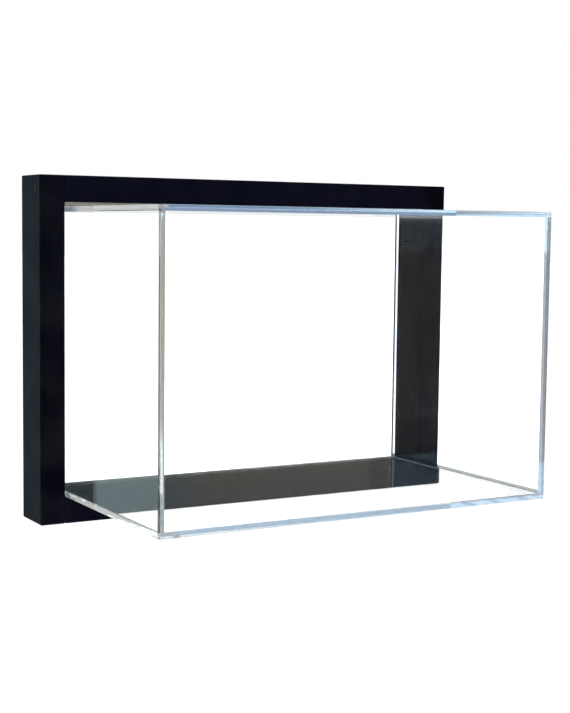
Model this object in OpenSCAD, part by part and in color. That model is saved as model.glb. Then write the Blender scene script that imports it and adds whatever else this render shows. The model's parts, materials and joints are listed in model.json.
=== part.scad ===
// Wall-hung display case: a clear five-sided cover that slides into a black wooden frame.
// X runs to the right, -Y comes out of the wall towards the viewer, +Z is up, all in millimetres.
// The origin lies midway between the entries of the two hanging keyholes, on the rear plane of the frame.

/* [Frame] */
// Width of the frame
frame_w = 355.6; // [280:0.1:460]
// Height of the frame
frame_h = 254; // [210:0.1:360]
// Depth of the frame, from its front to its rear plane
frame_d = 38.1; // [32:0.1:50]
// Width of each frame member, seen from the front
member_t = 19.05; // [18:0.05:25]
// Eased corner along every edge of the members
member_ease = 0.8; // [0.2:0.1:1.2]

/* [Cover] */
// How far the cover stands out in front of the frame
cover_out = 160; // [60:0.5:220]
// Thickness of the clear sheets of the cover
sheet_t = 4; // [3:0.1:6]
// Gap between the cover and the frame at each side
side_gap = 1.6; // [0.5:0.1:3]
// Gap between the cover and the top rail, which the felt fills
top_gap = 3.2; // [2:0.1:5]
// Eased corner along every edge of the sheets
sheet_ease = 0.25; // [0.1:0.05:0.5]

/* [Back] */
// Thickness of the clear back panel
back_t = 3; // [2:0.1:4]
// How far the back panel stays inside the outline of the frame
back_inset = 2; // [1:0.1:4]
// Thickness of the wall bumpers
bumper_t = 3.6; // [3.4:0.1:6]
// Radius of the wall bumpers
bumper_r = 5; // [3.5:0.1:5.5]

/* [Hanging] */
// Height of the frame's top edge above the keyhole entries
key_down = 45; // [42:0.5:70]
// Radius of the round keyhole entry, which lets a screw head in
key_entry_r = 4.75; // [4:0.05:5]
// Width of the keyhole slot, which holds the shank of the screw
key_slot_w = 5; // [4:0.1:5.5]
// Height of the slot's end above the entry
key_rise = 12; // [10:0.5:14]
// Thickness of the steel hanger plates
plate_t = 1.6; // [1.2:0.1:2]

/* [Hidden] */
$fn = 48;
eps = 0.01;             // overshoot of cutting tools
slide_play = 0.2;       // play under the cover and over it, where it slides
end_play = 0.3;         // play between the cover's rear rim and the back panel

z_top = key_down;
z_bottom = key_down - frame_h;
z_mid = (z_top + z_bottom) / 2;
open_w = frame_w - 2 * member_t;
open_top = z_top - member_t;
open_bottom = z_bottom + member_t;
stile_x = frame_w / 2 - member_t / 2;        // centre line of a stile
rail_top_z = z_top - member_t / 2;           // centre line of the top rail
rail_bottom_z = z_bottom + member_t / 2;     // centre line of the bottom rail

cover_w = open_w - 2 * side_gap;
cover_bottom_z = open_bottom + slide_play;
cover_top_z = open_top - top_gap;
cover_h = cover_top_z - cover_bottom_z;
cover_front_y = -frame_d - cover_out;
cover_depth = frame_d + cover_out - end_play;    // from the cover's face to its rear rim
wall_len = cover_depth - sheet_t;                // of the four walls behind the front sheet
felt_t = top_gap - slide_play;
felt_setback = 1.2;                              // of the felt behind the front of the frame

// Trim-head screws through the stiles into the ends of the rails
corner_screw_y = -frame_d + 11;
corner_screw_len = 50;
corner_shank_r = 1.7;
corner_pilot_r = 1.45;
corner_clear_r = 1.8;
corner_head_r = 2.4;
corner_cone_h = 2.2;
corner_sunk = 0.25;
drive_w = 2;
drive_depth = 1.8;

// Fluted dowels behind the screws
dowel_y = -11;
dowel_r = 3;
dowel_len = 29;
dowel_in_stile = 12;
dowel_end_play = 0.5;
dowel_play = 0.05;
flutes = 12;
flute_r = 0.25;

// Pan-head screws of the back panel
pan_r = 3.3;
pan_h = 1.9;
pan_shank_r = 1.6;
pan_pilot_r = 1.35;
pan_hole_r = 2;
pan_len = 15;
washer_r = 4.6;
washer_t = 0.8;
cross_w = 1.1;
cross_len = 3.6;
rail_screw_span = 120;                            // from the middle screw of a rail to its outer ones
side_screw_z = [z_mid + 27, z_mid - 68];
screw_tip_h = 3;

// Keyhole hanger plates, let into the rear of the stiles
plate_w = 16;
plate_h = 44;
plate_mid_z = (key_rise + key_slot_w / 2 - key_entry_r) / 2;
plate_play = 0.2;
plate_corner_r = 2;
plate_screw_reach = 17;                           // from the middle of the plate to each of its screws
plate_head_r = 3;
plate_shank_r = 1.5;
plate_hole_r = 1.7;
plate_pilot_r = 1.25;
plate_screw_len = 13;
pocket_w = 11;
pocket_deep = 9.6;                                // from the rear plane of the frame
pocket_play = 2.5;                                // of the pocket past the keyhole, above and below
window_r = 6.2;                                   // half the width of the panel's window over a keyhole

bumper_in = 12;                                   // from the edges of the frame to a bumper's middle
bumper_edge = 0.8;

SIDES = [-1, 1];
ENDS = [rail_bottom_z, rail_top_z];
BUMPERS = [[-1, 1, "upper_left"], [1, 1, "upper_right"], [-1, -1, "lower_left"], [1, -1, "lower_right"]];

// ---- colours ----
module painted() { color([0.05, 0.05, 0.07]) children(); }
module clear_sheet() { color([0.78, 0.88, 0.9, 0.35]) children(); }
module steel() { color([0.62, 0.63, 0.65]) children(); }
module blackened() { color([0.12, 0.12, 0.13]) children(); }

// ---- shared shapes ----

// Rectangle whose four corners are cut off by ease
module eased_rect(w, h, ease) {
    polygon([
        [ease, 0], [w - ease, 0], [w, ease], [w, h - ease],
        [w - ease, h], [ease, h], [0, h - ease], [0, ease]
    ]);
}

// Box from its low corner, with all twelve edges cut off by ease
module eased_box(size, ease) {
    intersection() {
        linear_extrude(size.z) eased_rect(size.x, size.y, ease);
        translate([0, size.y, 0]) rotate([90, 0, 0])
            linear_extrude(size.y) eased_rect(size.x, size.z, ease);
        rotate([90, 0, 90]) linear_extrude(size.x) eased_rect(size.y, size.z, ease);
    }
}

// Box between two corners, with eased edges
module eased_span(low, high, ease) {
    translate(low) eased_box(high - low, ease);
}

// Turns a shape built along +Z so that it points along +Y, or along +X
module along_y() { rotate([-90, 0, 0]) children(); }
module along_x() { rotate([0, 90, 0]) children(); }

// Slot standing on end: two round ends, the lower one at the origin, cut along +Y
module slot_y(r, rise, depth) {
    for (z = [0, rise]) translate([0, 0, z]) along_y() cylinder(h = depth, r = r);
    translate([-r, 0, 0]) cube([2 * r, depth, rise]);
}

// Places a child at every screw of the back panel, on the panel's front face
module at_back_screws() {
    for (z = ENDS, i = [-1, 0, 1]) translate([i * rail_screw_span, 0, z]) children();
    for (s = SIDES, z = side_screw_z) translate([s * stile_x, 0, z]) children();
}

// Places a child at the two screws of one hanger plate, on the rear plane of the frame
module at_plate_screws() {
    for (s = SIDES) translate([0, 0, plate_mid_z + s * plate_screw_reach]) children();
}

// ---- frame ----

// Stile on the +X side; the other one is its mirror image
module stile() {
    painted() difference() {
        eased_span([open_w / 2, -frame_d, z_bottom], [frame_w / 2, 0, z_top], member_ease);
        for (z = ENDS) {
            translate([frame_w / 2, corner_screw_y, z]) stile_screw_hole();
            translate([open_w / 2 - eps, dowel_y, z]) along_x()
                cylinder(h = dowel_in_stile + dowel_end_play + eps, r = dowel_r + dowel_play);
        }
        for (z = side_screw_z)
            translate([stile_x, -pan_len + back_t, z]) along_y() cylinder(h = pan_len, r = pan_pilot_r);
        translate([stile_x, 0, 0]) hanger_seat();
    }
}

// Clearance hole and head seat of a corner screw, from the outer face of the +X stile
module stile_screw_hole() {
    translate([-member_t - eps, 0, 0]) along_x() cylinder(h = member_t + 1, r = corner_clear_r);
    translate([-corner_sunk - corner_cone_h, 0, 0]) along_x()
        cylinder(h = corner_cone_h, r1 = corner_clear_r, r2 = corner_head_r + 0.05);
    translate([-corner_sunk - eps, 0, 0]) along_x() cylinder(h = 1, r = corner_head_r + 0.05);
}

// Recess for a hanger plate, the pocket for the wall screw's head behind it, and two pilot holes
module hanger_seat() {
    seat_w = plate_w + 2 * plate_play;
    seat_h = plate_h + 2 * plate_play;
    translate([-seat_w / 2, -plate_t, plate_mid_z - seat_h / 2]) cube([seat_w, plate_t + 1, seat_h]);
    pocket_low = -key_entry_r - pocket_play;
    pocket_high = key_rise + key_slot_w / 2 + pocket_play;
    translate([-pocket_w / 2, -pocket_deep, pocket_low])
        cube([pocket_w, pocket_deep, pocket_high - pocket_low]);
    at_plate_screws() translate([0, -plate_screw_len, 0]) along_y()
        cylinder(h = plate_screw_len, r = plate_pilot_r);
}

// Rail between the stiles, from its lower face
module rail(z) {
    painted() difference() {
        eased_span([-open_w / 2, -frame_d, z], [open_w / 2, 0, z + member_t], member_ease);
        for (s = SIDES) translate([0, 0, z + member_t / 2]) mirror([s < 0 ? 1 : 0, 0, 0]) {
            bite = corner_screw_len - member_t + corner_sunk;
            translate([open_w / 2 - bite, corner_screw_y, 0]) along_x()
                cylinder(h = bite + eps, r = corner_pilot_r);
            inside = dowel_len - dowel_in_stile + dowel_end_play;
            translate([open_w / 2 - inside, dowel_y, 0]) along_x()
                cylinder(h = inside + eps, r = dowel_r + dowel_play);
        }
        for (i = [-1, 0, 1]) translate([i * rail_screw_span, -pan_len + back_t, z + member_t / 2])
            along_y() cylinder(h = pan_len, r = pan_pilot_r);
    }
}

// Trim-head screw along -X, its head at the origin
module corner_screw() {
    along_x() mirror([0, 0, 1]) difference() {
        union() {
            cylinder(h = corner_cone_h, r1 = corner_head_r, r2 = corner_shank_r);
            cylinder(h = corner_screw_len - screw_tip_h, r = corner_shank_r);
            translate([0, 0, corner_screw_len - screw_tip_h])
                cylinder(h = screw_tip_h, r1 = corner_shank_r, r2 = 0.3);
        }
        translate([-drive_w / 2, -drive_w / 2, -eps]) cube([drive_w, drive_w, drive_depth]);
    }
}

module corner_screws() {
    blackened() for (s = SIDES, z = ENDS) mirror([s < 0 ? 1 : 0, 0, 0])
        translate([frame_w / 2 - corner_sunk, corner_screw_y, z]) corner_screw();
}

// Fluted beech dowel along +Z, with tapered ends
module dowel() {
    taper = 1;
    difference() {
        union() {
            cylinder(h = taper, r1 = dowel_r - 0.6, r2 = dowel_r);
            translate([0, 0, taper]) cylinder(h = dowel_len - 2 * taper, r = dowel_r);
            translate([0, 0, dowel_len - taper]) cylinder(h = taper, r1 = dowel_r, r2 = dowel_r - 0.6);
        }
        for (i = [0 : flutes - 1]) rotate(i * 360 / flutes)
            translate([dowel_r, 0, -1]) cylinder(h = dowel_len + 2, r = flute_r, $fn = 16);
    }
}

module corner_dowels() {
    color([0.8, 0.66, 0.45]) for (s = SIDES, z = ENDS) mirror([s < 0 ? 1 : 0, 0, 0])
        translate([open_w / 2 + dowel_in_stile - dowel_len, dowel_y, z]) along_x() dowel();
}

// Felt under the top rail: it takes up the gap and keeps the cover from tipping
module top_felt() {
    end_gap = 0.4;
    color([0.44, 0.44, 0.41])
        translate([-open_w / 2 + end_gap, -frame_d + felt_setback, open_top - felt_t])
            cube([open_w - 2 * end_gap, frame_d - felt_setback - 0.6, felt_t]);
}

// ---- cover: five sheets bonded edge to face ----

module cover_front() {
    clear_sheet() eased_span([-cover_w / 2, cover_front_y, cover_bottom_z],
        [cover_w / 2, cover_front_y + sheet_t, cover_top_z], sheet_ease);
}

// Top or bottom wall, the full width of the cover, from its lower face
module level_wall(z) {
    clear_sheet() eased_span([-cover_w / 2, cover_front_y + sheet_t, z],
        [cover_w / 2, cover_front_y + sheet_t + wall_len, z + sheet_t], sheet_ease);
}

// Side wall between the top and bottom walls, from its left face
module side_wall(x) {
    clear_sheet() eased_span([x, cover_front_y + sheet_t, cover_bottom_z + sheet_t],
        [x + sheet_t, cover_front_y + sheet_t + wall_len, cover_top_z - sheet_t], sheet_ease);
}

module cover_top() { level_wall(cover_top_z - sheet_t); }
module cover_bottom() { level_wall(cover_bottom_z); }
module cover_left() { side_wall(-cover_w / 2); }
module cover_right() { side_wall(cover_w / 2 - sheet_t); }

// ---- back ----

// Clear panel over the whole rear, with a window over each keyhole
module back_panel() {
    half_w = frame_w / 2 - back_inset;
    clear_sheet() difference() {
        eased_span([-half_w, 0, z_bottom + back_inset], [half_w, back_t, z_top - back_inset], sheet_ease);
        at_back_screws() translate([0, -1, 0]) along_y() cylinder(h = back_t + 2, r = pan_hole_r);
        for (s = SIDES) translate([s * stile_x, -1, 0]) slot_y(window_r, key_rise, back_t + 2);
    }
}

// Pan-head screw along -Y, the underside of its head at the origin
module pan_screw() {
    dome_steps = 6;
    flank = pan_h * 0.35;
    dome = [for (i = [0 : dome_steps]) let (a = 90 * i / dome_steps)
        [pan_r * (0.45 + 0.55 * cos(a)), flank + (pan_h - flank) * sin(a)]];
    difference() {
        along_y() rotate_extrude() polygon(concat([[0, 0], [pan_r, 0]], dome, [[0, pan_h]]));
        for (a = [0, 90]) rotate([0, a, 0])
            translate([-cross_len / 2, pan_h - 1.2, -cross_w / 2]) cube([cross_len, 2, cross_w]);
    }
    rotate([90, 0, 0]) {
        cylinder(h = pan_len - screw_tip_h, r = pan_shank_r);
        translate([0, 0, pan_len - screw_tip_h]) cylinder(h = screw_tip_h, r1 = pan_shank_r, r2 = 0.3);
    }
}

module back_screws() {
    blackened() at_back_screws() translate([0, back_t + washer_t, 0]) pan_screw();
}

module back_washers() {
    steel() at_back_screws() translate([0, back_t, 0]) along_y() difference() {
        cylinder(h = washer_t, r = washer_r);
        translate([0, 0, -1]) cylinder(h = washer_t + 2, r = pan_hole_r - 0.2);
    }
}

// ---- hanging hardware ----

// Steel keyhole plate, flush with the rear plane of the frame
module hanger() {
    core_w = plate_w - 2 * plate_corner_r;
    core_h = plate_h - 2 * plate_corner_r;
    steel() difference() {
        translate([0, -plate_t, plate_mid_z]) union() {
            translate([-plate_w / 2, 0, -core_h / 2]) cube([plate_w, plate_t, core_h]);
            translate([-core_w / 2, 0, -plate_h / 2]) cube([core_w, plate_t, plate_h]);
            for (i = SIDES, j = SIDES) translate([i * core_w / 2, 0, j * core_h / 2])
                along_y() cylinder(h = plate_t, r = plate_corner_r);
        }
        translate([0, -plate_t - 1, 0]) along_y() cylinder(h = plate_t + 2, r = key_entry_r);
        translate([0, -plate_t - 1, 0]) slot_y(key_slot_w / 2, key_rise, plate_t + 2);
        at_plate_screws() {
            translate([0, -plate_t - 1, 0]) along_y() cylinder(h = plate_t + 2, r = plate_hole_r);
            translate([0, -plate_t + 0.2, 0]) along_y()
                cylinder(h = plate_t - 0.2 + eps, r1 = plate_hole_r, r2 = plate_head_r + 0.1);
        }
    }
}

// Flat-head screw along -Y, the top of its head at the origin
module flat_screw() {
    head_h = plate_t - 0.2;
    rotate([90, 0, 0]) difference() {
        union() {
            cylinder(h = head_h, r1 = plate_head_r, r2 = plate_shank_r);
            cylinder(h = plate_screw_len - screw_tip_h, r = plate_shank_r);
            translate([0, 0, plate_screw_len - screw_tip_h])
                cylinder(h = screw_tip_h, r1 = plate_shank_r, r2 = 0.3);
        }
        for (a = [0, 90]) rotate(a)
            translate([-cross_len / 2, -cross_w / 2, -eps]) cube([cross_len, cross_w, 0.9]);
    }
}

module hanger_screws() {
    steel() for (s = SIDES) translate([s * stile_x, -0.05, 0]) at_plate_screws() flat_screw();
}

// Soft bumper on the rear face of the back panel, at the corner that the two signs name
module bumper(side, end) {
    z = end > 0 ? z_top - bumper_in : z_bottom + bumper_in;
    color([0.16, 0.16, 0.17]) translate([side * (frame_w / 2 - bumper_in), back_t, z]) along_y() {
        cylinder(h = bumper_t - bumper_edge, r = bumper_r);
        translate([0, 0, bumper_t - bumper_edge])
            cylinder(h = bumper_edge, r1 = bumper_r, r2 = bumper_r - bumper_edge);
    }
}

mirror([1, 0, 0]) stile();  // left_stile
stile();  // right_stile
rail(open_top);  // top_rail
rail(z_bottom);  // bottom_rail
corner_screws();
corner_dowels();
top_felt();
cover_front();
cover_top();
cover_bottom();
cover_left();
cover_right();
back_panel();
back_screws();
back_washers();
translate([-stile_x, 0, 0]) hanger();  // left_hanger
translate([stile_x, 0, 0]) hanger();  // right_hanger
hanger_screws();
bumper(-1, 1);  // bumper_upper_left
bumper(1, 1);  // bumper_upper_right
bumper(-1, -1);  // bumper_lower_left
bumper(1, -1);  // bumper_lower_right
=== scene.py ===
import json
import math

import bmesh
import bpy
from mathutils import Matrix, Vector, noise

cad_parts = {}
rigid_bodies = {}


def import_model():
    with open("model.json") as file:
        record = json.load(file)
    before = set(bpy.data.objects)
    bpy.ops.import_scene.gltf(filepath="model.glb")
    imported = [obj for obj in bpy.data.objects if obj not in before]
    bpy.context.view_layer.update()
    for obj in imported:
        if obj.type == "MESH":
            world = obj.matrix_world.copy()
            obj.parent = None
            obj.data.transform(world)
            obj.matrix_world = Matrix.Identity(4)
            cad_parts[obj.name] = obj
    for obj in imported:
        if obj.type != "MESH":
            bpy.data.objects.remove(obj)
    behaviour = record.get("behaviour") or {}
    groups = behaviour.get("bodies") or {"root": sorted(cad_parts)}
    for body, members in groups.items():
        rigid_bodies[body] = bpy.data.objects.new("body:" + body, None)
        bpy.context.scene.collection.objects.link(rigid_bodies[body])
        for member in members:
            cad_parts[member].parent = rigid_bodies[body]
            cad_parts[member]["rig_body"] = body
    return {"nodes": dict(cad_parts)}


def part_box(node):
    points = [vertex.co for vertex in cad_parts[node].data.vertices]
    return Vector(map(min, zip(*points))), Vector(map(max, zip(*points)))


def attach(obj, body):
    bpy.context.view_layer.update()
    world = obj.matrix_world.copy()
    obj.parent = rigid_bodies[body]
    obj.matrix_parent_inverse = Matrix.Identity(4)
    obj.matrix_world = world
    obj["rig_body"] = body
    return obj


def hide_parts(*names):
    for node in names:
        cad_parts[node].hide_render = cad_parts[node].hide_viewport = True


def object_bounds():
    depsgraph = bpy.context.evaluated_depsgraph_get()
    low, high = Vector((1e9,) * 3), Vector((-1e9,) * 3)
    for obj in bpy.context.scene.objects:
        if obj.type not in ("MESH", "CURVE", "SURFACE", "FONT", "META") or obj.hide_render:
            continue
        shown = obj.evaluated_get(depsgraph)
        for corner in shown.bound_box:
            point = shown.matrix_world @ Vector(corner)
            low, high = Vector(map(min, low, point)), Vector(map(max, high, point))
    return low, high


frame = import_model()
cad_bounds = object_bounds()

MM = 0.001

# Camera: where it stands from the middle of the object, and how it is turned.
EYE_FROM_MIDDLE = (-0.5342, -0.9109, 0.0900)
CAMERA_YAW = math.radians(30.02)
CAMERA_PITCH = math.radians(-5.12)
CAMERA_ROLL = math.radians(0.68)
CAMERA_LENS_MM = 71.7

# Floor, and how bright the white behind the sheets is made, so that it is still white through them. The floor
# is seen more steeply where it is near, through more of each sheet, so there it needs more.
FLOOR_BELOW = 0.6
FLOOR_RADIUS = 40.0
FLOOR_WHITE = (0.90, 0.90, 0.90, 1)
SEEN_THROUGH = 1.5
SEEN_STEEPLY = 1.9
STEEP_WITHIN = 4.5
LEVEL_BEYOND = 8.0

# Where light comes from: the room if it was mirrored once, the walls if it rang on inside a sheet, and a
# tinted sky and floor if it went straight through a joint.
ROOM_FRONT = (0.035, 0.035, 0.038, 1)
ROOM_REAR = (0.080, 0.078, 0.070, 1)
ROOM_SCREEN = (0.40, 0.52, 0.54, 1)
ROOM_HORIZON = (1.0, 1.0, 1.0, 1)
JOINT_SKY = (0.66, 0.78, 0.98, 1)
JOINT_FLOOR = (0.31, 0.28, 0.25, 1)
WALL_PALE = (1.90, 2.15, 2.30, 1)
WALL_BLUE = (1.05, 1.42, 1.90, 1)
WALL_DEEP = (0.52, 0.70, 0.94, 1)
WALL_STEEL = (1.15, 1.28, 1.40, 1)
WALL_GREY = (1.16, 1.07, 0.98, 1)
WALL_WHITE = (2.40, 2.25, 2.05, 1)
WALL_OLIVE = (1.10, 0.92, 0.66, 1)
WALL_SHADE = (0.50, 0.50, 0.50, 1)
WALL_DIM = (0.20, 0.35, 0.39, 1)
WALL_DUSK = (0.37, 0.35, 0.28, 1)
WALL_ASH = (1.20, 1.12, 1.10, 1)

# Zones of the room and the walls. Each holds the parts of the light's direction that bound it, with where the
# zone begins and where it is full. X is to the right, y to the rear and z up.
ZONES = {
    "rear": (("y", -0.3, 0.5), ("x", 0.36, 0.44)),
    "screen": (("x", 0.15, -0.40), ("y", -0.2, 0.45)),
    "horizon": (("z", -0.04, -0.025), ("z", 0.004, 0.0), ("y", 0.4, 0.6), ("x", 0.2, 0.3)),
    "blue": (("x", 0.424, 0.428), ("x", 0.60, 0.50)),
    "above": (("z", -0.002, 0.002),),
    "aloft": (("z", 0.03, 0.08),),
    "under": (("z", -0.03, -0.10),),
    "olive": (("z", 0.010, 0.006), ("x", 0.427, 0.424)),
    "shade": (("z", 0.010, 0.006), ("x", 0.615, 0.625)),
    "plain": (("x", 0.4225, 0.4200),),
    "plain_foot": (("z", -0.13, -0.16),),
    "left": (("x", 0.05, -0.05),),
    "far_left": (("x", -0.47, -0.52),),
    "far_left_foot": (("z", -0.012, -0.016),),
    "dusk": (("x", 0.42, 0.45),),
    "raised": (("z", 0.004, 0.013),),
}

# How often light was mirrored and how many faces it passed. The limits lie between two whole numbers.
ONCE_OR_MORE = 0.5
TWICE_OR_MORE = 1.5
SCREEN_PASSES = 2.5
DIM_MIRRORINGS = 3.5
DEEP_PASSES = 4.5
JOINT_PASSES = 5.5

# Light that was mirrored once, deep in the sheets, counts as ringing on if it goes this far to a side.
RINGS_OUTWARD = 0.3

# Light straight through a joint goes above JOINT_ABOVE or to the left of JOINT_LEFT_OF. On the floor it lands
# where x, over the distance from the floor's middle, is less than FLOOR_JOINT_LEFT_OF.
JOINT_ABOVE = 0.0105
JOINT_LEFT_OF = 0.43
FLOOR_JOINT_LEFT_OF = 0.48

# Paint: its colour in three tones, from the deepest, and the lighter colour of its convex edges, partly wear
# and partly a painted highlight.
PAINT_TONES = ((0.0010, 0.0012, 0.0052), (0.0015, 0.0017, 0.0068), (0.0021, 0.0024, 0.0082))
PAINT_WORN_AND_HIGHLIGHT = (0.011, 0.012, 0.016, 1)

# Colours of the other materials, mixed from the first to the second and then towards the third.
FELT_TONES = ((0.205, 0.205, 0.176, 1), (0.450, 0.446, 0.395, 1), (0.315, 0.315, 0.272, 1))
FELT_SHEEN = (0.7, 0.7, 0.62, 1)
BEECH_TONES = ((0.44, 0.27, 0.13, 1), (0.58, 0.38, 0.20, 1), (0.25, 0.13, 0.06, 1))
BLACK_TONES = ((0.012, 0.012, 0.014, 1), (0.028, 0.028, 0.031, 1), (0.16, 0.16, 0.17, 1))
ZINC_TONES = ((0.50, 0.53, 0.58, 1), (0.62, 0.61, 0.55, 1), (0.38, 0.39, 0.41, 1))
RUBBER_TONES = ((0.010, 0.010, 0.011, 1), (0.030, 0.029, 0.028, 1))

# Where most of a noise texture's values lie.
NOISE_SPAN = (0.3, 0.7)

# Finished edges, on top of what the CAD eases, the mesh clean-up, and which edges are rounded over.
BOARD_EDGE = 0.26 * MM
HARDWARE_EDGE = 0.12 * MM
SHEET_EDGE = 0.14 * MM
WELD_WITHIN = 0.002 * MM
FLAT_WITHIN = math.radians(0.6)
SHARP_FROM = math.radians(28.0)

# Acrylic sheets: how far a glued face reaches into its neighbour, the cement line's height and the X side on
# which a sheet shows it, and the tints.
BOND_OVERLAP = 0.02 * MM
CEMENT_LINE = 2.8 * MM
CEMENT_SIDE = {"cover_right": -1}
FACE_TINT = (0.99, 0.995, 0.995, 1)
EDGE_TINT = (0.62, 0.66, 0.69, 1)
GLUE_TINT = (0.30, 0.36, 0.44, 1)
CEMENT_TINT = (0.055, 0.062, 0.060, 1)
ACRYLIC_IOR = 1.491
ACRYLIC_BODY = (0.86, 0.93, 0.95, 1)
ACRYLIC_DENSITY = 1.5

# A face points along an axis if its normal has more than this there.
FACING = 0.9

STILES = ("left_stile", "right_stile")
RAILS = ("top_rail", "bottom_rail")
HANGERS = ("left_hanger", "right_hanger")
BUMPERS = ("bumper_upper_left", "bumper_upper_right", "bumper_lower_left", "bumper_lower_right")


# ---------------------------------------------------------------- node helpers


class Tree:
    """Short calls for building one node tree."""

    def __init__(self, tree):
        self.tree = tree
        tree.nodes.clear()

    def add(self, kind, **settings):
        node = self.tree.nodes.new(kind)
        for name, value in settings.items():
            setattr(node, name, value)
        return node

    def feed(self, socket, value):
        """Links value to socket if it is an output, and sets it otherwise."""
        if isinstance(value, bpy.types.NodeSocket):
            self.tree.links.new(value, socket)
        elif value is not None:
            socket.default_value = value

    def math(self, operation, a, b=None, c=None):
        node = self.add("ShaderNodeMath", operation=operation)
        for socket, value in zip(node.inputs, (a, b, c)):
            self.feed(socket, value)
        return node.outputs[0]

    def product(self, first, *others):
        for other in others:
            first = self.math("MULTIPLY", first, other)
        return first

    def split(self, point):
        """The x, y and z outputs of a vector."""
        node = self.add("ShaderNodeSeparateXYZ")
        self.feed(node.inputs[0], point)
        return tuple(node.outputs)

    def remap(self, value, low, high, to_low=0.0, to_high=1.0):
        """A smooth step from to_low, where value is low, to to_high, where it is high."""
        node = self.add("ShaderNodeMapRange", interpolation_type="SMOOTHSTEP")
        for socket, number in zip(node.inputs, (value, low, high, to_low, to_high)):
            self.feed(socket, number)
        return node.outputs[0]

    def mix(self, share, a, b):
        node = self.add("ShaderNodeMix", data_type="RGBA")
        self.feed(node.inputs[0], share)
        self.feed(node.inputs[6], a)
        self.feed(node.inputs[7], b)
        return node.outputs[2]

    def object_point(self, scale=(1, 1, 1)):
        """The point times scale. It is in the row frame, or on the floor from the floor's middle."""
        place = self.add("ShaderNodeTexCoord").outputs["Object"]
        node = self.add("ShaderNodeMapping")
        self.feed(node.inputs["Vector"], place)
        node.inputs["Scale"].default_value = scale
        return node.outputs[0]

    def noise(self, point, scale, detail=3.0, rough=0.5, distortion=0.0):
        node = self.add("ShaderNodeTexNoise")
        self.feed(node.inputs["Vector"], point)
        node.inputs["Scale"].default_value = scale
        node.inputs["Detail"].default_value = detail
        node.inputs["Roughness"].default_value = rough
        node.inputs["Distortion"].default_value = distortion
        return node.outputs["Fac"]

    def bump(self, height, distance, strength=1.0, normal=None):
        node = self.add("ShaderNodeBump")
        node.inputs["Strength"].default_value = strength
        node.inputs["Distance"].default_value = distance
        self.feed(node.inputs["Height"], height)
        self.feed(node.inputs["Normal"], normal)
        return node.outputs[0]


def new_material(name):
    """A material, its tree, and a Principled node that already feeds its surface."""
    material = bpy.data.materials.new(name)
    material.use_nodes = True
    tree = Tree(material.node_tree)
    surface = tree.add("ShaderNodeBsdfPrincipled")
    output = tree.add("ShaderNodeOutputMaterial")
    tree.feed(output.inputs["Surface"], surface.outputs[0])
    return material, tree, surface, output


# ------------------------------------------------------------------- materials


def painted_wood(name, along, tone, shine):
    """Satin black paint over close-grained board, whose grain runs along the axis numbered along.

    Tone multiplies the paint's colours, which makes lighter and darker copies of the one paint as painted
    light, and shine is its specular level."""
    material, tree, surface, _ = new_material(name)
    stretch = [1.0, 1.0, 1.0]
    stretch[along] = 0.045
    along_grain = tree.object_point(stretch)
    anywhere = tree.object_point()
    pores = tree.noise(along_grain, scale=1500.0, detail=4.0, rough=0.62)
    bands = tree.noise(along_grain, scale=260.0, detail=3.0, rough=0.5, distortion=0.6)
    cloud = tree.noise(anywhere, scale=22.0, detail=3.0, rough=0.55)
    peel = tree.noise(anywhere, scale=900.0, detail=2.0, rough=0.5)
    edges = tree.add("ShaderNodeNewGeometry").outputs["Pointiness"]
    # Convex edges get a lighter colour: partly wear, partly a painted highlight along the arrises.
    wear_and_highlight = tree.remap(edges, low=0.505, high=0.56)
    wear_and_highlight = tree.product(wear_and_highlight, tree.remap(cloud, low=0.35, high=0.7))
    deep, plain, pale = ([*(tone * part for part in colour), 1] for colour in PAINT_TONES)
    paint = tree.mix(tree.remap(cloud, *NOISE_SPAN), deep, plain)
    paint = tree.mix(tree.remap(bands, low=0.35, high=0.75, to_low=0.0, to_high=0.5), paint, pale)
    paint = tree.mix(tree.product(wear_and_highlight, 0.55), paint, PAINT_WORN_AND_HIGHLIGHT)
    tree.feed(surface.inputs["Base Color"], paint)
    rough = tree.remap(cloud, *NOISE_SPAN, to_low=0.36, to_high=0.43)
    rough = tree.math("ADD", rough, tree.remap(pores, *NOISE_SPAN, to_low=0.0, to_high=0.06))
    rough = tree.math("SUBTRACT", rough, tree.product(wear_and_highlight, 0.08))
    tree.feed(surface.inputs["Roughness"], rough)
    surface.inputs["Specular IOR Level"].default_value = shine
    relief = tree.bump(bands, distance=0.05 * MM, strength=0.35)
    relief = tree.bump(pores, distance=0.03 * MM, strength=0.3, normal=relief)
    relief = tree.bump(peel, distance=0.02 * MM, strength=0.25, normal=relief)
    tree.feed(surface.inputs["Normal"], relief)
    return material


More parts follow.
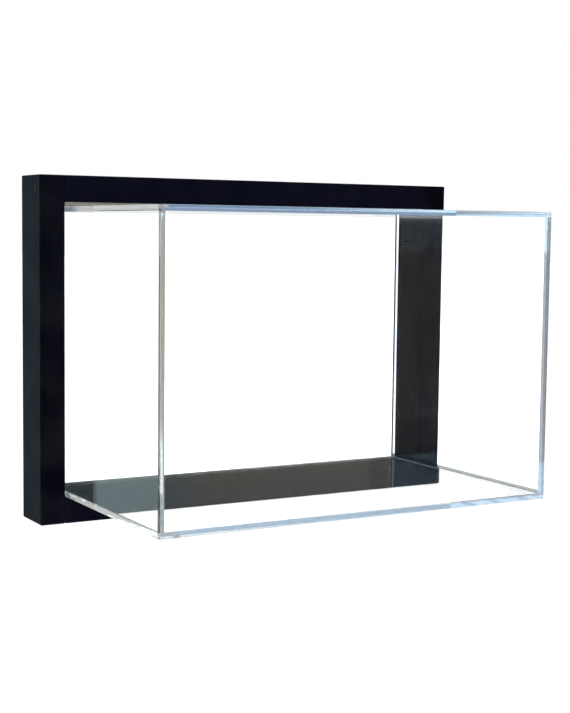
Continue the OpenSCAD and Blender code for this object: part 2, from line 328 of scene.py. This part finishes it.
def clear_acrylic():
    """Cast acrylic sheet: clear faces with a trace of waviness, and tinted edges that ripple slightly.

    Glued joints are darker, and a line of cement is darker still."""
    material, tree, surface, output = new_material("clear_acrylic")
    edge = tree.add("ShaderNodeAttribute", attribute_name="polished_edge").outputs["Fac"]
    glue = tree.add("ShaderNodeAttribute", attribute_name="glued_joint").outputs["Fac"]
    cement = tree.add("ShaderNodeAttribute", attribute_name="cement_line").outputs["Fac"]
    anywhere = tree.object_point()
    sheet_wave = tree.noise(anywhere, scale=14.0, detail=1.0, rough=0.4)
    ripple = tree.noise(anywhere, scale=40.0, detail=1.0, rough=0.5)
    tint = tree.mix(edge, FACE_TINT, EDGE_TINT)
    tint = tree.mix(glue, tint, GLUE_TINT)
    tint = tree.mix(cement, tint, CEMENT_TINT)
    tree.feed(surface.inputs["Base Color"], tint)
    surface.inputs["Transmission Weight"].default_value = 1.0
    surface.inputs["IOR"].default_value = ACRYLIC_IOR
    surface.inputs["Roughness"].default_value = 0.0
    relief = tree.bump(sheet_wave, distance=0.012 * MM, strength=0.5)
    ripple_height = tree.product(ripple, edge)
    relief = tree.bump(ripple_height, distance=0.014 * MM, strength=0.5, normal=relief)
    tree.feed(surface.inputs["Normal"], relief)
    absorb = tree.add("ShaderNodeVolumeAbsorption")
    absorb.inputs["Color"].default_value = ACRYLIC_BODY
    absorb.inputs["Density"].default_value = ACRYLIC_DENSITY
    tree.feed(output.inputs["Volume"], absorb.outputs[0])
    return material


def grey_felt():
    """Pressed olive-grey felt with matted fibres."""
    material, tree, surface, _ = new_material("grey_felt")
    anywhere = tree.object_point()
    stretched = tree.object_point((0.35, 1.0, 1.0))
    fibres = tree.noise(stretched, scale=2600.0, detail=5.0, rough=0.7, distortion=1.2)
    clumps = tree.noise(anywhere, scale=420.0, detail=3.0, rough=0.6, distortion=0.4)
    dark, pale, clumped = FELT_TONES
    shade = tree.mix(tree.remap(fibres, low=0.32, high=0.68), dark, pale)
    shade = tree.mix(tree.remap(clumps, low=0.35, high=0.7, to_low=0.0, to_high=0.45), shade, clumped)
    tree.feed(surface.inputs["Base Color"], shade)
    surface.inputs["Roughness"].default_value = 0.95
    surface.inputs["Specular IOR Level"].default_value = 0.15
    surface.inputs["Sheen Weight"].default_value = 0.35
    surface.inputs["Sheen Roughness"].default_value = 0.5
    surface.inputs["Sheen Tint"].default_value = FELT_SHEEN
    relief = tree.bump(clumps, distance=0.2 * MM, strength=0.6)
    relief = tree.bump(fibres, distance=0.12 * MM, strength=0.8, normal=relief)
    tree.feed(surface.inputs["Normal"], relief)
    return material


def beech():
    """Plain beech of the dowels, with its short dark flecks."""
    material, tree, surface, _ = new_material("beech")
    along_grain = tree.object_point((0.05, 1.0, 1.0))
    along_flecks = tree.object_point((0.2, 1.0, 1.0))
    grain = tree.noise(along_grain, scale=900.0, detail=4.0, rough=0.6, distortion=0.3)
    flecks = tree.remap(tree.noise(along_flecks, scale=1600.0, detail=2.0), low=0.58, high=0.68)
    early, late, fleck = BEECH_TONES
    wood = tree.mix(tree.remap(grain, *NOISE_SPAN), early, late)
    wood = tree.mix(tree.product(flecks, 0.5), wood, fleck)
    tree.feed(surface.inputs["Base Color"], wood)
    surface.inputs["Roughness"].default_value = 0.62
    tree.feed(surface.inputs["Normal"], tree.bump(grain, distance=0.05 * MM, strength=0.4))
    return material


def black_steel():
    """Black-oxide steel, with edges rubbed brighter."""
    material, tree, surface, _ = new_material("black_steel")
    anywhere = tree.object_point()
    mottle = tree.noise(anywhere, scale=1400.0, detail=3.0, rough=0.6)
    edges = tree.add("ShaderNodeNewGeometry").outputs["Pointiness"]
    rubbed = tree.remap(edges, low=0.52, high=0.62)
    rubbed = tree.product(rubbed, tree.remap(mottle, low=0.35, high=0.65))
    deep, plain, bare = BLACK_TONES
    coat = tree.mix(tree.remap(mottle, *NOISE_SPAN), deep, plain)
    coat = tree.mix(tree.product(rubbed, 0.7), coat, bare)
    tree.feed(surface.inputs["Base Color"], coat)
    surface.inputs["Metallic"].default_value = 0.75
    tree.feed(surface.inputs["Roughness"], tree.remap(mottle, *NOISE_SPAN, to_low=0.30, to_high=0.46))
    tree.feed(surface.inputs["Normal"], tree.bump(mottle, distance=0.02 * MM, strength=0.4))
    return material


def zinc_steel():
    """Zinc-plated stamped steel: pale, finely brushed along its length, faintly blue and yellow in clouds."""
    material, tree, surface, _ = new_material("zinc_steel")
    brushed = tree.noise(tree.object_point((1.0, 1.0, 0.03)), scale=3200.0, detail=3.0, rough=0.6)
    cloud = tree.noise(tree.object_point(), scale=160.0, detail=3.0, rough=0.55, distortion=0.4)
    bluish, yellowish, scored = ZINC_TONES
    plate = tree.mix(tree.remap(cloud, *NOISE_SPAN), bluish, yellowish)
    plate = tree.mix(tree.remap(brushed, low=0.3, high=0.75, to_low=0.0, to_high=0.45), plate, scored)
    tree.feed(surface.inputs["Base Color"], plate)
    surface.inputs["Metallic"].default_value = 1.0
    rough = tree.remap(brushed, low=0.25, high=0.75, to_low=0.22, to_high=0.42)
    tree.feed(surface.inputs["Roughness"], rough)
    tree.feed(surface.inputs["Normal"], tree.bump(brushed, distance=0.01 * MM, strength=0.5))
    return material


def bumper_rubber():
    """Moulded dark rubber with a matt, slightly dusty skin."""
    material, tree, surface, _ = new_material("bumper_rubber")
    anywhere = tree.object_point()
    skin = tree.noise(anywhere, scale=3000.0, detail=3.0, rough=0.6)
    dust = tree.noise(anywhere, scale=500.0, detail=4.0, rough=0.6)
    clean, dusty = RUBBER_TONES
    tone = tree.mix(tree.remap(dust, low=0.35, high=0.75), clean, dusty)
    tree.feed(surface.inputs["Base Color"], tone)
    tree.feed(surface.inputs["Roughness"], tree.remap(skin, *NOISE_SPAN, to_low=0.62, to_high=0.85))
    surface.inputs["Specular IOR Level"].default_value = 0.35
    tree.feed(surface.inputs["Normal"], tree.bump(skin, distance=0.03 * MM, strength=0.5))
    return material


# ---------------------------------------------------------------- mesh helpers


def add_piece(name, bm, material, slot, *nodes):
    """Turns bm into a piece that stands for the CAD nodes and rides on their body."""
    mesh = bpy.data.meshes.new(name)
    bm.to_mesh(mesh)
    bm.free()
    mesh.materials.append(material)
    piece = bpy.data.objects.new(name, mesh)
    bpy.context.scene.collection.objects.link(piece)
    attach(piece, frame["nodes"][nodes[0]]["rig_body"])
    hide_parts(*nodes)
    return piece


def smooth_by_angle(bm, degrees):
    """Smooth shading, with edges sharper than degrees kept sharp."""
    limit = math.radians(degrees)
    for face in bm.faces:
        face.smooth = True
    for edge in bm.edges:
        edge.smooth = len(edge.link_faces) == 2 and edge.calc_face_angle(0.0) < limit


def refined(node, width, segments=3):
    """The CAD node's mesh, welded and with every sharp edge rounded over.

    The hangers' edges crowd each other, so what doubles up there is welded again."""
    bm = bmesh.new()
    bm.from_mesh(frame["nodes"][node].data)
    bmesh.ops.remove_doubles(bm, verts=bm.verts, dist=WELD_WITHIN)
    bmesh.ops.dissolve_limit(bm, angle_limit=FLAT_WITHIN, verts=bm.verts, edges=bm.edges)
    sharp = [e for e in bm.edges if len(e.link_faces) == 2 and e.calc_face_angle(0.0) > SHARP_FROM]
    bmesh.ops.bevel(
        bm,
        geom=sharp,
        offset=width,
        offset_type="OFFSET",
        segments=segments,
        profile=0.5,
        affect="EDGES",
        clamp_overlap=True,
        harden_normals=False,
    )
    if node in HANGERS:
        bmesh.ops.remove_doubles(bm, verts=bm.verts, dist=WELD_WITHIN)
        bmesh.ops.dissolve_degenerate(bm, dist=WELD_WITHIN, edges=bm.edges)
    smooth_by_angle(bm, 32.0)
    return bm


def finish_shading(piece):
    """Keeps flat faces flat beside their rounded edges."""
    weighted = piece.modifiers.new("flat faces", "WEIGHTED_NORMAL")
    weighted.keep_sharp = True
    weighted.weight = 100


# ---------------------------------------------------------------------- pieces


def make_boards():
    # Stiles and rails share one black paint; the rails' copy is made over twice as light as the stiles', as
    # painted light, not a different paint.
    upright = painted_wood("painted_stile", along=2, tone=0.9, shine=0.05)
    level = painted_wood("painted_rail", along=0, tone=2.0, shine=0.06)
    for nodes, material in ((STILES, upright), (RAILS, level)):
        for node in nodes:
            bm = refined(node, BOARD_EDGE)
            finish_shading(add_piece(node + "_board", bm, material, "painted_wood", node))


def make_hardware():
    black = black_steel()
    zinc = zinc_steel()
    for node in ("corner_screws", "back_screws"):
        bm = refined(node, HARDWARE_EDGE, segments=2)
        finish_shading(add_piece(node + "_turned", bm, black, "black_steel", node))
    for node in (*HANGERS, "hanger_screws", "back_washers"):
        bm = refined(node, HARDWARE_EDGE, segments=2)
        finish_shading(add_piece(node + "_plated", bm, zinc, "zinc_steel", node))


def paint_node(node, material):
    """Gives a CAD node that stays as it is its material."""
    mesh = frame["nodes"][node].data
    mesh.materials.clear()
    mesh.materials.append(material)


def sheet_mesh(low, high, bonded, cement_side):
    """A sheet between two corners. Bonded holds its faces that are glued to another sheet, as (axis, side).

    Free edges are rounded over, and bonded faces reach a hair into their neighbour, so that light passes.
    Where cement_side isn't 0, a line of cement shows along the foot of the face on that side in X."""
    low = Vector(low)
    high = Vector(high)
    for axis, side in bonded:
        if side > 0:
            high[axis] += BOND_OVERLAP
        else:
            low[axis] -= BOND_OVERLAP
    bm = bmesh.new()
    bmesh.ops.create_cube(bm, size=1.0)
    middle = (low + high) / 2
    size = high - low
    for vert in bm.verts:
        vert.co = Vector(middle[i] + vert.co[i] * size[i] for i in range(3))
    thin = min(range(3), key=lambda axis: size[axis])

    def is_bonded(face):
        face.normal_update()
        return any(face.normal[axis] * side > FACING for axis, side in bonded)

    edge_share = bm.faces.layers.float.new("polished_edge")
    glue_share = bm.faces.layers.float.new("glued_joint")
    for face in bm.faces:
        face[glue_share] = float(is_bonded(face))
        face[edge_share] = float(abs(face.normal[thin]) < 0.5) * (1.0 - face[glue_share])
    free = [e for e in bm.edges if not any(face[glue_share] for face in e.link_faces)]
    arris = bmesh.ops.bevel(
        bm,
        geom=free,
        offset=SHEET_EDGE,
        offset_type="OFFSET",
        segments=4,
        profile=0.5,
        affect="EDGES",
        clamp_overlap=True,
    )
    for face in arris["faces"]:
        face[edge_share] = 0.0
        face[glue_share] = 0.0
    cement_share = bm.faces.layers.float.new("cement_line")
    if cement_side:
        cut = Vector((0, 0, low.z + CEMENT_LINE))
        whole = [*bm.verts, *bm.edges, *bm.faces]
        bmesh.ops.bisect_plane(bm, geom=whole, plane_co=cut, plane_no=(0, 0, 1))
        for face in bm.faces:
            at_foot = face.calc_center_median().z < cut.z
            face[cement_share] = float(at_foot and face.normal.x * cement_side > FACING)
    smooth_by_angle(bm, 40.0)
    return bm


def make_cover(acrylic):
    """The five sheets: a full-size front, top and bottom behind it, and the sides between those."""
    glued_faces = {
        "cover_front": (),
        "cover_top": ((1, -1),),
        "cover_bottom": ((1, -1),),
        "cover_left": ((1, -1), (2, -1), (2, 1)),
        "cover_right": ((1, -1), (2, -1), (2, 1)),
    }
    for node, bonded in glued_faces.items():
        low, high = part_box(node)
        bm = sheet_mesh(low, high, bonded, CEMENT_SIDE.get(node, 0))
        finish_shading(add_piece(node + "_sheet", bm, acrylic, "clear_acrylic", node))


def make_back_panel(acrylic):
    bm = refined("back_panel", HARDWARE_EDGE, segments=2)
    edge_share = bm.faces.layers.float.new("polished_edge")
    for face in bm.faces:
        face[edge_share] = float(abs(face.normal.y) < 0.5)
    finish_shading(add_piece("back_panel_sheet", bm, acrylic, "clear_acrylic", "back_panel"))


def make_felt():
    """The felt strip, its faces uneven by about a tenth of a millimetre and its edges soft."""
    low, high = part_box("top_felt")
    step = 1.5 * MM
    round_over = 0.5 * MM
    unevenness = 0.12 * MM
    fine, coarse = 700.0, 260.0
    size = high - low
    half = size / 2
    counts = [max(2, round(size[i] / step)) for i in range(3)]
    bm = bmesh.new()
    bmesh.ops.create_cube(bm, size=1.0)
    for axis in range(3):
        across = [e for e in bm.edges if abs((e.verts[0].co - e.verts[1].co)[axis]) > 0.5]
        bmesh.ops.subdivide_edges(bm, edges=across, cuts=counts[axis] - 1, use_grid_fill=True)
    middle = (low + high) / 2
    for vert in bm.verts:
        place = Vector(vert.co[i] * size[i] for i in range(3))
        core = Vector(max(-half[i] + round_over, min(half[i] - round_over, place[i])) for i in range(3))
        out = place - core
        if out.length > 0:
            place = core + out.normalized() * round_over
        rough = noise.noise((place + middle) * fine) * 0.5 + noise.noise((place + middle) * coarse) * 0.5
        inward = -out.normalized() if out.length > 0 else Vector()
        vert.co = middle + place + inward * unevenness * (0.5 + 0.5 * rough)
    smooth_by_angle(bm, 80.0)
    add_piece("top_felt_strip", bm, grey_felt(), "grey_felt", "top_felt")


def lathe(profile, steps, base, axis):
    """A solid of revolution. Profile is (radius, height) pairs from the axis at one end to the other."""
    bm = bmesh.new()
    rings = []
    turn = Vector((0, 0, 1)).rotation_difference(axis).to_matrix()
    for radius, height in profile:
        if radius == 0:
            rings.append([bm.verts.new(base + turn @ Vector((0, 0, height)))])
            continue
        angles = [2 * math.pi * i / steps for i in range(steps)]
        points = [Vector((radius * math.cos(a), radius * math.sin(a), height)) for a in angles]
        rings.append([bm.verts.new(base + turn @ p) for p in points])
    for lower, upper in zip(rings, rings[1:]):
        for i in range(steps):
            j = (i + 1) % steps
            corners = [ring[k % len(ring)] for ring, k in ((lower, i), (lower, j), (upper, j), (upper, i))]
            bm.faces.new(list(dict.fromkeys(corners)))
    bmesh.ops.recalc_face_normals(bm, faces=bm.faces)
    return bm


def make_bumpers():
    """Moulded bumpers: a thin skirt, a waist, a rounded crown and a shallow dimple in the face."""
    rubber = bumper_rubber()
    crown = 0.9 * MM
    crown_steps = 6
    skirt_height = 0.35 * MM
    waist_from = 0.6 * MM
    waist_inset = 0.25 * MM
    dimple = ((2.2 * MM, 0.0), (1.9 * MM, 0.12 * MM), (1.2 * MM, 0.3 * MM), (0, 0.36 * MM))
    for node in BUMPERS:
        low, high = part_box(node)
        radius = (high.x - low.x) / 2
        waist = radius - waist_inset
        height = high.y - low.y
        profile = [(0, 0), (radius, 0), (radius, skirt_height), (waist, waist_from), (waist, height - crown)]
        for i in range(1, crown_steps + 1):
            bend = math.radians(90 / crown_steps * i)
            out = waist - crown + crown * math.cos(bend)
            profile.append((out, height - crown + crown * math.sin(bend)))
        profile += [(reach, height - depth) for reach, depth in dimple]
        base = Vector(((low.x + high.x) / 2, low.y, (low.z + high.z) / 2))
        bm = lathe(profile, steps=48, base=base, axis=Vector((0, 1, 0)))
        smooth_by_angle(bm, 50.0)
        add_piece(node + "_moulding", bm, rubber, "bumper_rubber", node)


# ---------------------------------------------------------------------- studio


def make_world():
    """White studio. What is seen directly or through the sheets is white, and bluish through a joint.

    Light mirrored once comes from a dark room, with a pale screen to its left and rear and a bright strip
    on its horizon. Light that rings on inside a sheet, and so leaves by its edges, comes from the walls.
    They are pale blue-grey, white below, olive and grey in places, and dim for rising light that was
    mirrored only a few times."""
    world = bpy.data.worlds.new("studio")
    world.use_nodes = True
    world.cycles.sampling_method = "NONE"
    bpy.context.scene.world = world
    tree = Tree(world.node_tree)
    x, y, z = tree.split(tree.add("ShaderNodeTexCoord").outputs["Generated"])
    parts = {"x": x, "y": y, "z": z}
    path = tree.add("ShaderNodeLightPath").outputs
    mirrorings = path["Glossy Depth"]
    passes = path["Transmission Depth"]

    def zone(name):
        """How far a direction lies in that zone, from 0 to 1."""
        return tree.product(*(tree.remap(parts[part], begins, full) for part, begins, full in ZONES[name]))

    screen = tree.product(zone("screen"), tree.math("LESS_THAN", passes, SCREEN_PASSES))
    room = tree.mix(zone("rear"), ROOM_FRONT, ROOM_REAR)
    room = tree.mix(screen, room, ROOM_SCREEN)
    room = tree.mix(zone("horizon"), room, ROOM_HORIZON)

    aloft = zone("aloft")
    walls = tree.mix(zone("blue"), WALL_PALE, tree.mix(zone("above"), WALL_DEEP, WALL_BLUE))
    walls = tree.mix(aloft, walls, WALL_STEEL)
    walls = tree.mix(zone("under"), walls, WALL_WHITE)
    walls = tree.mix(zone("olive"), walls, WALL_OLIVE)
    walls = tree.mix(zone("shade"), walls, WALL_SHADE)
    walls = tree.mix(zone("plain"), walls, tree.mix(zone("plain_foot"), WALL_GREY, WALL_WHITE))
    far_left = tree.mix(zone("far_left_foot"), WALL_PALE, WALL_ASH)
    walls = tree.mix(zone("left"), walls, tree.mix(zone("far_left"), WALL_OLIVE, far_left))
    dimmed = tree.product(aloft, tree.math("LESS_THAN", mirrorings, DIM_MIRRORINGS))
    walls = tree.mix(dimmed, walls, tree.mix(zone("dusk"), WALL_DIM, WALL_DUSK))

    deep = tree.math("GREATER_THAN", passes, DEEP_PASSES)
    level = tree.product(tree.math("LESS_THAN", z, 0.0), tree.math("GREATER_THAN", x, RINGS_OUTWARD))
    raised = tree.product(zone("raised"), tree.math("LESS_THAN", x, -RINGS_OUTWARD))
    ringing = tree.product(deep, tree.math("MAXIMUM", level, raised))
    ringing = tree.math("MAXIMUM", ringing, tree.math("GREATER_THAN", mirrorings, TWICE_OR_MORE))
    mirrored = tree.mix(ringing, room, walls)

    through = tree.math("GREATER_THAN", passes, ONCE_OR_MORE)
    strength = tree.math("MULTIPLY_ADD", through, SEEN_THROUGH - 1.0, 1.0)
    white = tree.add("ShaderNodeCombineXYZ")
    for socket in white.inputs:
        tree.feed(socket, strength)
    above = tree.math("GREATER_THAN", z, JOINT_ABOVE)
    joint = tree.math("MAXIMUM", above, tree.math("LESS_THAN", x, JOINT_LEFT_OF))
    joint = tree.product(joint, tree.math("GREATER_THAN", passes, JOINT_PASSES))
    seen = tree.mix(joint, white.outputs[0], JOINT_SKY)

    background = tree.add("ShaderNodeBackground")
    bounced = tree.math("GREATER_THAN", mirrorings, ONCE_OR_MORE)
    tree.feed(background.inputs["Color"], tree.mix(bounced, seen, mirrored))
    output = tree.add("ShaderNodeOutputWorld")
    tree.feed(output.inputs["Surface"], background.outputs[0])


def make_floor(lowest):
    """Pale floor, which mirrored light passes through to the studio's room.

    It glows as painted light where it is seen through the sheets, so that it stays white, except straight
    through a joint, where it takes a painted dark shade instead."""
    bm = bmesh.new()
    bmesh.ops.create_circle(bm, cap_ends=True, segments=96, radius=FLOOR_RADIUS)
    mesh = bpy.data.meshes.new("floor")
    bm.to_mesh(mesh)
    bm.free()
    floor = bpy.data.objects.new("floor", mesh)
    floor.location.z = lowest - FLOOR_BELOW
    bpy.context.scene.collection.objects.link(floor)
    material, tree, surface, output = new_material("pale_floor")
    surface.inputs["Roughness"].default_value = 1.0
    surface.inputs["Specular IOR Level"].default_value = 0.0
    path = tree.add("ShaderNodeLightPath").outputs
    passes = path["Transmission Depth"]
    place = tree.object_point()
    length = tree.add("ShaderNodeVectorMath", operation="LENGTH")
    tree.feed(length.inputs[0], place)
    distance = length.outputs["Value"]
    across = tree.math("DIVIDE", tree.split(place)[0], distance)
    # Seen straight through a joint, the floor gets a painted dark shade as its colour.
    joint = tree.math("GREATER_THAN", passes, JOINT_PASSES)
    joint = tree.product(joint, tree.math("LESS_THAN", across, FLOOR_JOINT_LEFT_OF))
    tree.feed(surface.inputs["Base Color"], tree.mix(joint, FLOOR_WHITE, JOINT_FLOOR))
    through = tree.math("GREATER_THAN", passes, ONCE_OR_MORE)
    through = tree.math("SUBTRACT", through, joint)
    glow = tree.remap(distance, STEEP_WITHIN, LEVEL_BEYOND, SEEN_STEEPLY - 1.0, SEEN_THROUGH - 1.0)
    surface.inputs["Emission Color"].default_value = (1.0, 1.0, 1.0, 1)
    tree.feed(surface.inputs["Emission Strength"], tree.product(through, glow))
    open_floor = tree.add("ShaderNodeBsdfTransparent")
    pick = tree.add("ShaderNodeMixShader")
    tree.feed(pick.inputs[0], tree.math("GREATER_THAN", path["Glossy Depth"], ONCE_OR_MORE))
    tree.feed(pick.inputs[1], surface.outputs[0])
    tree.feed(pick.inputs[2], open_floor.outputs[0])
    tree.feed(output.inputs["Surface"], pick.outputs[0])
    mesh.materials.append(material)


def add_softbox(name, place, aim, size, watts, colour):
    """A square lamp at place, turned to aim. It isn't seen directly or through the sheets."""
    light = bpy.data.lights.new(name, "AREA")
    light.shape = "SQUARE"
    light.size = size
    light.energy = watts
    light.color = colour
    box = bpy.data.objects.new(name, light)
    box.location = place
    box.rotation_euler = (Vector(aim) - Vector(place)).to_track_quat("-Z", "Y").to_euler()
    box.visible_camera = False
    box.visible_transmission = False
    bpy.context.scene.collection.objects.link(box)


def add_sun(name, toward, strength, spread, colour):
    """A broad soft lamp, far away, that shines along toward. Spread is its width in degrees.

    It isn't seen directly or through the sheets."""
    light = bpy.data.lights.new(name, "SUN")
    light.energy = strength
    light.angle = math.radians(spread)
    light.color = colour
    sun = bpy.data.objects.new(name, light)
    sun.rotation_euler = Vector(toward).to_track_quat("-Z", "Y").to_euler()
    sun.visible_camera = False
    sun.visible_transmission = False
    bpy.context.scene.collection.objects.link(sun)


def make_lights(middle):
    add_sun("overhead", (0.25, 0.35, -1.0), strength=0.9, spread=40, colour=(1.0, 1.0, 1.0))
    key_place = middle + Vector((-1.5, 0.5, 1.5))
    add_softbox("key", key_place, middle, size=0.9, watts=6.5, colour=(0.50, 0.84, 1.0))


def make_camera(middle):
    data = bpy.data.cameras.new("camera")
    data.lens = CAMERA_LENS_MM
    camera = bpy.data.objects.new("camera", data)
    turn = Matrix.Rotation(-CAMERA_YAW, 4, "Z") @ Matrix.Rotation(math.pi / 2 + CAMERA_PITCH, 4, "X")
    turn = turn @ Matrix.Rotation(CAMERA_ROLL, 4, "Z")
    camera.matrix_world = Matrix.Translation(middle + Vector(EYE_FROM_MIDDLE)) @ turn
    bpy.context.scene.collection.objects.link(camera)
    bpy.context.scene.camera = camera


def make_scene():
    low, high = (Vector(corner) for corner in cad_bounds)
    middle = (low + high) / 2
    scene = bpy.context.scene
    scene.view_settings.view_transform = "Standard"
    scene.cycles.max_bounces = 160
    scene.cycles.glossy_bounces = 160
    scene.cycles.transmission_bounces = 48
    scene.cycles.transparent_max_bounces = 24
    make_camera(middle)
    make_world()
    make_floor(low.z)
    make_lights(middle)


make_scene()
make_boards()
make_hardware()
make_felt()
make_bumpers()
paint_node("corner_dowels", beech())
clear = clear_acrylic()
make_cover(clear)
make_back_panel(clear)
